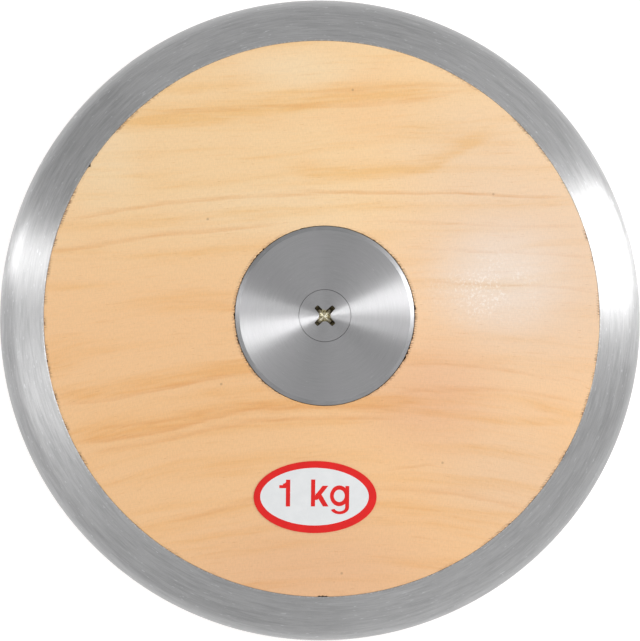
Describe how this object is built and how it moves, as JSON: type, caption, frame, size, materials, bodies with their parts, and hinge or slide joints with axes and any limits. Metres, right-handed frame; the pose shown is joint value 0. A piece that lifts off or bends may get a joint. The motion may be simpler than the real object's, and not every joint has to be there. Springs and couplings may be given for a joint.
{
  "type": "discus",
  "caption": "Throwing discus: a steel rim round a two-part turned wooden body, with a steel plate screwed to the middle of each face.",
  "frame": {"origin": "middle of the disc, halfway through its thickness, on the axis it was turned on", "axes": "+Z along the axis towards the labelled face, +Y from the label across the disc, +X to the right as the label reads"},
  "size_m": [0.181, 0.181, 0.0374],
  "materials": {
    "rim_steel": "turned and brushed round the ring, bright, with small nicks at the wood seam",
    "body_wood": "pale solid wood, turned, satin varnish",
    "plate_steel": "faced on a lathe, with fine concentric tool marks and a turned bevel",
    "screw_steel": "head faced off flush with the plate, yellow zinc left inside the cross recess",
    "sleeve_steel": "plain drawn tube, threaded inside",
    "trim_steel": "plain stamped",
    "dowel_wood": "plain beech, glued",
    "label_film": "thin printed film, pale field with a red border and a red weight mark"
  },
  "bodies": {
    "root": {"rim": "rim_steel", "web_dowel_1": "dowel_wood", "web_dowel_2": "dowel_wood", "web_dowel_3": "dowel_wood", "web_dowel_4": "dowel_wood", "web_dowel_5": "dowel_wood", "web_dowel_6": "dowel_wood", "web_dowel_7": "dowel_wood", "web_dowel_8": "dowel_wood", "centre_sleeve": "sleeve_steel", "front_wood_half": "body_wood", "front_centre_plate": "plate_steel", "front_plate_screw": "screw_steel", "front_trim_washer_1": "trim_steel", "front_trim_washer_2": "trim_steel", "back_wood_half": "body_wood", "back_centre_plate": "plate_steel", "back_plate_screw": "screw_steel", "back_trim_washer_1": "trim_steel", "back_trim_washer_2": "trim_steel", "weight_label": "label_film"}
  },
  "joints": []
}
